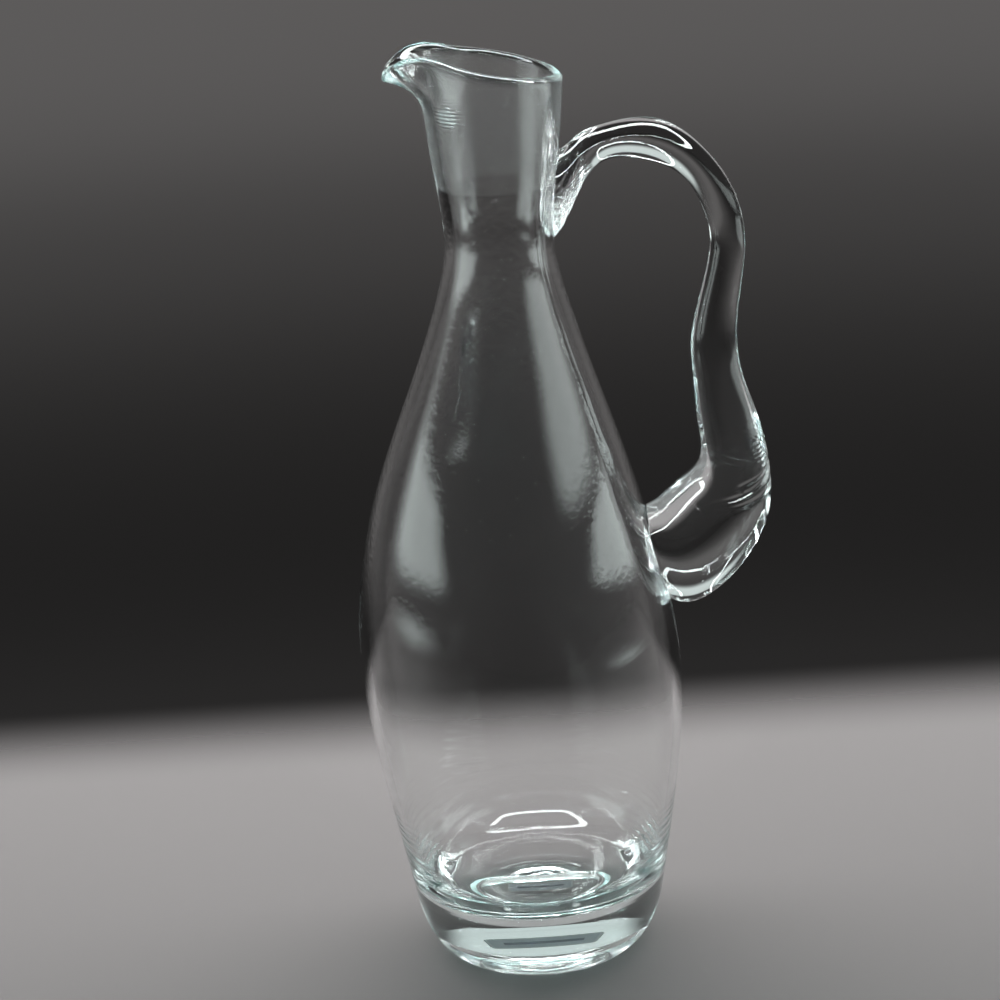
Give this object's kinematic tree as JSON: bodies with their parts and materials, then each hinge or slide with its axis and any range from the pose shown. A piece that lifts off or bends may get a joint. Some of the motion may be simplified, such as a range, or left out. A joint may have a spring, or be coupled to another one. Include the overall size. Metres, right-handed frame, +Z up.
{
  "type": "glass decanter",
  "caption": "Blown clear-glass pouring decanter with a thick base, sloping shoulder, narrow ground neck, pinched spout and an applied loop handle.",
  "frame": {"origin": "centre of the bounding box on the table the decanter stands on; the vessel's own axis is about 14.6 mm from it, on the spout's side", "axes": "+X towards the handle, -X towards the spout, +Y across, +Z up"},
  "size_m": [0.1386, 0.106, 0.3079],
  "materials": {
    "body_glass": "clear, faintly aqua blown glass with a ground haze inside the neck",
    "handle_glass": "clear, faintly aqua drawn glass",
    "label_film": "clear film with a pale printed border"
  },
  "bodies": {
    "root": {"glass_body": "body_glass", "applied_handle": "handle_glass", "base_label": "label_film"}
  },
  "joints": []
}
